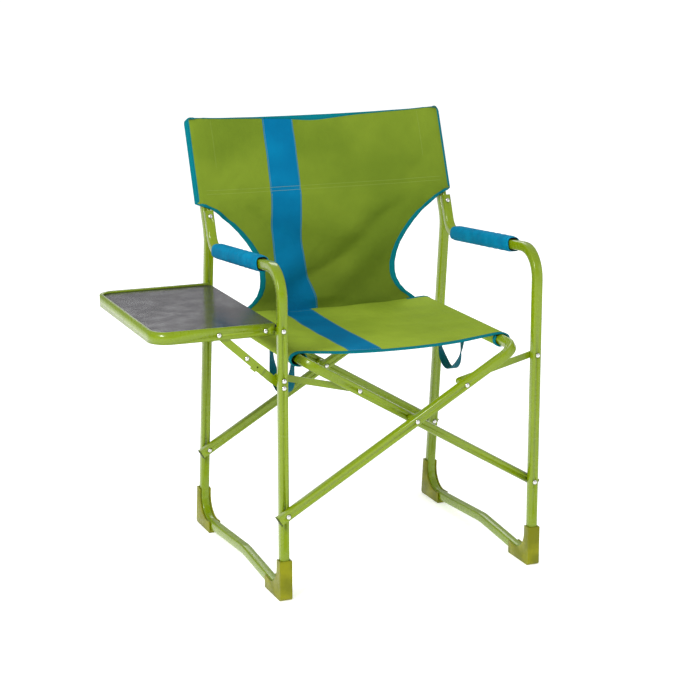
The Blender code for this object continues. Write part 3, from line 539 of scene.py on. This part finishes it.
# ---- back -----------------------------------------------------------------------------------------
BACK_TOP, SLEEVE_FOOT, TOP_CORNER = 0.862, 0.697, 0.009
BACK_HEM = 0.462  # height of the front sheet's lower edge, where its cloth coordinate starts
BACK_FOOT = np.array([0.0, 0.1675, 0.4575])  # where its line ends, at the seat's rear edge
BACK_TAPE, POCKET_TAPE = (0.0112, 0.0036), (0.0075, 0.0026)  # width and thickness
POCKET_CANVAS, POCKET_OUT = 0.0014, 0.0020
FRONT_OUT = HALF_TUBE + 0.0024
SIDE_OUT = HALF_W + HALF_TUBE + 0.0115  # the binding joins both sheets outside the post
CUT_OUT = [  # half width of the front sheet at each height, from the sleeve's foot to the seat
    (0.697, 0.2855), (0.6945, 0.2825), (0.6915, 0.276), (0.6875, 0.266), (0.682, 0.254),
    (0.672, 0.238), (0.655, 0.216), (0.635, 0.197), (0.612, 0.179), (0.590, 0.165), (0.570, 0.157),
    (0.549, 0.152), (0.530, 0.1515), (0.515, 0.154),
    (0.500, 0.161), (0.487, 0.173), (0.478, 0.186), (0.470, 0.195), (BACK_HEM, 0.198),
]
CREASES = [  # depth, place in X and Z, lean in degrees, half width, half length
    (0.0110, (0.075, 0.600), 37, 0.019, 0.080),
    (0.0070, (-0.010, 0.545), 22, 0.015, 0.070),
    (0.0045, (0.130, 0.655), 30, 0.012, 0.060),
    (0.0040, (-0.160, 0.668), -35, 0.011, 0.060),
    (0.0030, (0.205, 0.742), 38, 0.007, 0.040),
    (0.0024, (-0.200, 0.735), 42, 0.006, 0.035),
]


def post_middle(z):
    """The middle of a leaning back post at a height."""
    return np.array([0.0, KINK_Y + POST_LEAN * (z - KINK_Z), z])


def front_sheet_line(z):
    """The middle of the front sheet at a height: along the posts, then down to the seat's rear edge."""
    seam = post_middle(SLEEVE_FOOT + 0.004) + POST_FRONT * FRONT_OUT
    if z >= seam[2]:
        return post_middle(z) + POST_FRONT * FRONT_OUT
    share = (seam[2] - z) / (seam[2] - BACK_FOOT[2])
    line = seam + (BACK_FOOT - seam) * share
    line[1] += 0.016 * math.sin(math.pi * share) * share
    return line


def half_width(z):
    """Half the front sheet's width at a height: its cut-outs, its straight sides, and its rounded top."""
    if z < SLEEVE_FOOT:
        heights, widths = zip(*CUT_OUT[::-1])
        return float(np.interp(z, heights, widths))
    into = max(0.0, z - (BACK_TOP - TOP_CORNER))
    return SIDE_OUT - TOP_CORNER + math.sqrt(max(TOP_CORNER**2 - into**2, 0))


def make_back(fabric, tape):
    """The back's front sheet, from the seat's rear edge to the top, with its binding on three sides."""
    cloth = Cloth("back_cover", [fabric, tape])
    corner = [BACK_TOP - TOP_CORNER * (1 - math.sin(math.radians(a))) for a in (0, 20, 40, 58, 74, 88)]
    heights = list(np.linspace(BACK_TOP - TOP_CORNER, 0.70, 34)) + corner + [h for h, w in CUT_OUT]
    heights = sorted(set(np.round(heights + list(np.linspace(0.69, BACK_HEM, 50)), 4)), reverse=True)
    columns = np.linspace(-1, 1, 73)
    points, coords = [], []
    for z in heights:
        middle, half = front_sheet_line(z), half_width(z)
        x = columns * half
        free = 1 - np.clip(np.abs(x) / 0.250, 0, 1) ** 4
        by_post = smoothstep(np.abs(x), 0.215, 0.248)[:, None] * smoothstep(z, 0.66, 0.68)
        middle = middle * (1 - by_post) + (post_middle(z) + POST_FRONT * FRONT_OUT) * by_post
        row = middle - POST_FRONT * back_depth(x, z, free, columns)[:, None]
        row[:, 0] = x
        dip = 0.0035 * (1 - (x / 0.27) ** 2) * smoothstep(z, BACK_TOP - 0.04, BACK_TOP)
        row = row - POST * dip[:, None]
        points.append(row)
        drift = 0.020 * smoothstep(z, 0.570, BACK_HEM) - 0.006 * hump(z, 0.65, 0.09)
        coords.append(np.stack([x - drift * free, np.full(len(x), z - BACK_HEM)], axis=1))
    points = np.array(points)
    cloth.sheet(points, coords, CANVAS)
    up = np.cross(np.gradient(points, axis=1), np.gradient(points, axis=0))
    left_in = points[:, 1] - points[:, 0]
    right_in = points[:, -2] - points[:, -1]
    path = np.concatenate([points[::-1, 0], points[0, 1:-1], points[:, -1]])
    inward = np.concatenate([left_in[::-1], points[1, 1:-1] - points[0, 1:-1], right_in])
    normal = np.concatenate([up[::-1, 0], up[0, 1:-1], up[:, -1]])
    inward /= np.linalg.norm(inward, axis=1, keepdims=True)
    normal /= np.linalg.norm(normal, axis=1, keepdims=True)
    for _ in range(3):
        inward[1:-1] = (inward[:-2] + inward[1:-1] + inward[2:]) / 3
    cloth.tape(path, inward, normal, *BACK_TAPE)
    return cloth.build()


def crease(x, z, place, lean, width, length):
    """1 along a valley through place, leaning this many degrees, and fading out over its length."""
    sine, cosine = math.sin(math.radians(lean)), math.cos(math.radians(lean))
    across = (z - place[1]) * cosine - (x - place[0]) * sine
    along = (z - place[1]) * sine + (x - place[0]) * cosine
    return hump(across, 0, width) * hump(along, 0, length)


def back_depth(x, z, free, columns):
    """How far the front sheet lies behind its taut plane: bow, seam, slack folds and puckers."""
    bow = 0.0080 * free * smoothstep(z, 0.60, 0.80)
    seam = (0.0024 * hump(z, 0.7165, 0.0032) + 0.0004 * np.sin(x * 420) * hump(z, 0.711, 0.009)) * free
    slack = 1 - np.abs(columns) ** 3
    fold = 0.0085 * np.sin(x * 21 + z * 34 + 0.6) * smoothstep(z, 0.69, 0.60) * slack
    fold += 0.0048 * np.sin(x * 38 - z * 55 + 1.1) * smoothstep(z, 0.64, 0.54) * slack
    for depth, *where in CREASES:
        fold += depth * crease(x, z, *where)
    fold += 0.0030 * hump(z, 0.502, 0.018) * np.cos(x * 15 + 0.4)
    pucker = np.sin(z * 62 + np.abs(x) * 48) * hump(np.abs(x), 0.19, 0.05)
    fold += 0.0014 * pucker * smoothstep(z, 0.69, 0.72)
    fold += 0.0009 * np.sin(z * 90 - x * 30) * smoothstep(z, 0.73, 0.80) * free
    curl = 0.0085 * smoothstep(np.abs(x), SIDE_OUT - 0.009, SIDE_OUT) * smoothstep(z, 0.690, SLEEVE_FOOT)
    return bow + seam + fold * smoothstep(z, BACK_HEM, 0.490) + curl


def sleeve_section(out, corner=0.0045):
    """Round a post, from its inner side over the back to the outer side and in under the front sheet."""
    half = HALF_TUBE + out
    near = half - corner
    around = arc((-near, near), corner, 180, 90, 5) + arc((near, near), corner, 90, 0, 5)
    around += arc((near, -near), corner, 0, -55, 4)
    return np.array([(-half, -half * 0.75)] + around)


def make_pocket(side, sign, fabric, tape):
    """The pocket over a post: its sides and back, drawn in and closed at the top."""
    cloth = Cloth("back_pocket_" + side, [fabric, tape])
    section = sleeve_section(POCKET_OUT)
    run = distance_along(section)
    rows, coords = [], []
    top, bend = BACK_TOP - 0.003, 0.008
    heights = list(np.linspace(SLEEVE_FOOT + 0.001, top - bend, 26))
    for z in heights + [top - 0.005, top - 0.0025, top - 0.0008, top]:
        middle = post_middle(z)
        into = max(0.0, z - (top - bend)) / bend
        draw = 1 - 0.62 * (1 - math.sqrt(max(1 - into**2, 0)))
        slack = 0.0005 * math.sin(z * 120 + sign)
        depth, across = -(section[:, 1] * draw + slack), section[:, 0] * sign * draw
        row = middle + POST_FRONT * depth[:, None]
        row[:, 0] += sign * HALF_W + across
        rows.append(row)
        coords.append(np.stack([sign * (HALF_W + run), np.full(len(run), z - BACK_HEM)], axis=1))
    rows, coords = np.array(rows), np.array(coords)
    if sign < 0:
        rows, coords = rows[:, ::-1], coords[:, ::-1]
    cloth.sheet(rows, coords, POCKET_CANVAS)
    outline = rows[-1]
    rise = POST * 0.001
    centre = outline.mean(axis=0) + rise
    lid = np.stack([outline] + [outline + (centre - outline) * k + rise for k in (0.45, 0.97)])
    cloth.sheet(lid, np.stack([coords[-1]] * 3), 0.0012)
    foot = rows[0]
    normal = np.cross(np.gradient(foot, axis=0), POST)
    cloth.tape(foot, np.tile(POST, (len(foot), 1)), normal, *POCKET_TAPE)
    pocket = cloth.build()
    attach(pocket, side + "_frame")


# ---- pads and straps ------------------------------------------------------------------------------
PAD_FRONT, PAD_BACK = -0.150, 0.121
FRONT_SLANT, BACK_SLANT = 0.25, -0.1  # how far each end leans along the arm for each metre up
STRAP_HALF, STRAP_WIDTH, STRAP_IN = 0.060, 0.018, 0.0045  # half length, width, distance inside its rail
STRAP_DROP = {"left": 0.077, "right": 0.095}  # how far each loop hangs down


def arm_z(y):
    """The height of an arm's middle, which falls towards the back."""
    return ARM_FRONT_Z - ARM_SLOPE * (y - ARM_FRONT_Y)


def make_pad(side, sign, canvas, foam):
    """A canvas sleeve with foam inside, softly squared and fuller in its middle. Its ends stand open."""
    cloth = Cloth("arm_sleeve_" + side, [canvas, foam])
    low, high = PAD_FRONT, PAD_BACK
    angles = np.linspace(-math.pi / 2, 1.5 * math.pi, 41)
    c, s = np.cos(angles), np.sin(angles)

    def ring(y, half_w, half_h, power, lift=0.0, slant=0.0):
        x = np.sign(c) * np.abs(c) ** power * half_w
        z = np.sign(s) * np.abs(s) ** power * half_h
        along = y + slant * z
        place = np.stack([sign * HALF_W + x, along, arm_z(along) + z + lift], axis=1)
        return place, np.stack([np.full(len(x), y - low), (angles + math.pi / 2) * 0.015], axis=1)

    def skin(rings, slot):
        cloth.grid(np.array([p for p, _ in rings]), np.array([k for _, k in rings]), slot, flip=True)

    front_in = ring(low + 0.006, 0.0122, 0.0130, 0.7, slant=FRONT_SLANT)
    back_in = ring(high - 0.005, 0.0118, 0.0126, 0.7, slant=BACK_SLANT)
    outside = [front_in, ring(low + 0.0006, 0.0124, 0.0133, 0.7, slant=FRONT_SLANT)]
    for share in np.linspace(0, 1, 46):
        end = min(share, 1 - share)
        full = smoothstep(end, -0.02, 0.05)
        dent = 0.0008 * hump(end, 0.032, 0.008)
        pucker = 0.00045 * math.sin(share * 59 + sign) * hump(share, 0.3, 0.25)
        half_w = 0.0128 + 0.0014 * full - dent + pucker
        half_h = 0.0138 + 0.0018 * full - dent - pucker
        slant = FRONT_SLANT * (1 - share) + BACK_SLANT * share
        outside.append(ring(low + share * (high - low), half_w, half_h, 0.72, 0.0002, slant))
    outside += [ring(high - 0.0006, 0.0120, 0.0128, 0.7, slant=BACK_SLANT), back_in]
    skin(outside, 0)
    inner = HALF_TUBE + 0.0004
    bore_back = ring(high - 0.006, inner, inner, 0.5, slant=BACK_SLANT)
    bore_front = ring(low + 0.007, inner, inner, 0.5, slant=FRONT_SLANT)
    skin([back_in, bore_back, bore_front, front_in], 1)
    pad = cloth.build()
    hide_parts("arm_pad_" + side)
    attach(pad, side + "_frame")


def make_strap(side, sign, material, middle, twist):
    """A webbing loop sewn under the seat's sleeve, hanging with a quarter turn in it."""
    cloth = Cloth("strap_loop_" + side, [material])
    half, width, top, drop = STRAP_HALF, STRAP_WIDTH, RAIL_Z - SLEEVE - 0.0014, STRAP_DROP[side]
    share = np.linspace(-1, 1, 60)
    y = middle + half * np.sin(share * math.pi / 2) * (1 - 0.10 * np.cos(share * math.pi / 2))
    z = top - drop * np.cos(share * math.pi / 2) ** 0.8
    x = np.full(len(share), sign * (RAIL_X - STRAP_IN))
    path = np.stack([x, y, z], axis=1)
    along = np.gradient(path, axis=0)
    along /= np.linalg.norm(along, axis=1, keepdims=True)
    flat = np.array([1.0, 0.0, 0.0])
    in_plane = np.cross(along, flat)
    turn = math.pi / 2 * smoothstep(np.abs(share), 0.25, 0.98) * np.where(share < 0, twist, -twist)
    across = flat * np.cos(turn)[:, None] + in_plane * np.sin(turn)[:, None]
    offsets = np.linspace(-width / 2, width / 2, 7)
    points = np.stack([path + across * k for k in offsets], axis=1)
    run = distance_along(path)
    coords = np.stack([np.stack([run, np.full(len(run), k + width / 2)], axis=1) for k in offsets], axis=1)
    cloth.sheet(points, coords, 0.0016)
    strap = cloth.build()
    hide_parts("carry_strap_" + side)
    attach(strap, "strap_" + side)


# ---- the frame's own pieces -----------------------------------------------------------------------
ROUNDED = ("side_frame", "scissor_frame", "rivet", "foot_cap", "crossing_spacer", "table_rim")


def dress_frame():
    """Gives every CAD node that stays its detailed material, and smooth shading across the small facets of
    the rounded ones.
    """
    paint = powder_coat()
    looks = {
        "rivet_": rivet_metal(),
        "foot_cap_": moulded_plastic("foot_plastic", hue(124, 128, 2), hue(150, 152, 8), 0.42),
        "table_board": board_laminate(),
    }
    plug = moulded_plastic("plug_plastic", hue(60, 74, 26), hue(74, 90, 30), 0.5)
    for name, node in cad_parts.items():
        found = [look for start, look in looks.items() if name.startswith(start)]
        material = plug if "_plug_" in name else found[0] if found else paint
        for slot in node.material_slots:
            slot.material = material
        weld = node.modifiers.new("weld", "WELD")
        weld.merge_threshold = 0.00001
        if name.startswith(ROUNDED):
            node.data.shade_smooth()
            node.data.set_sharp_from_angle(angle=math.radians(48))


def dress_cloth():
    tape = binding_tape()
    stripe = (-0.114, -0.046, -0.114, -0.046, 0.38)
    rows = [(0.0125, -0.21, 0.21), (0.362, -0.21, 0.21)]
    columns = [(u, 0.0, 0.38) for u in (-0.196, 0.196, -0.1115, -0.0485)]
    seat_look = main_fabric("seat_canvas", stripe, rows, columns, hue(180, 208, 66), hue(162, 190, 56))
    seat = make_seat(seat_look, tape)
    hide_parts("seat_fabric")
    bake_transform(seat)

    stripe = (-0.118, -0.050, -0.118, -0.051, 0.400)
    rows = [(v, -0.262, 0.262) for v in (0.2500, 0.2575)]
    columns = [(-0.232, 0.303, 0.393), (0.232, 0.303, 0.393), (-0.1155, 0.0, 0.4), (-0.0525, 0.0, 0.4)]
    light, dark = hue(142, 168, 50), hue(124, 151, 42)
    # the back's cloth takes painted shade towards its lower edge
    back_look = main_fabric("back_canvas", stripe, rows, columns, light, dark, painted_low_shade=0.72)
    back = make_back(back_look, tape)
    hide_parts("back_fabric")
    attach(back, "left_frame")
    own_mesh(back)

    pads, foam = pad_fabric(), pad_foam()
    straps = webbing()
    for side, sign in (("left", -1), ("right", 1)):
        make_pad(side, sign, pads, foam)
        make_pocket(side, sign, back_look, tape)
    make_strap("left", -1, straps, -0.092, 1)
    make_strap("right", 1, straps, 0.020, -1)


make_camera()
make_studio()
dress_frame()
dress_cloth()
bpy.context.view_layer.update()
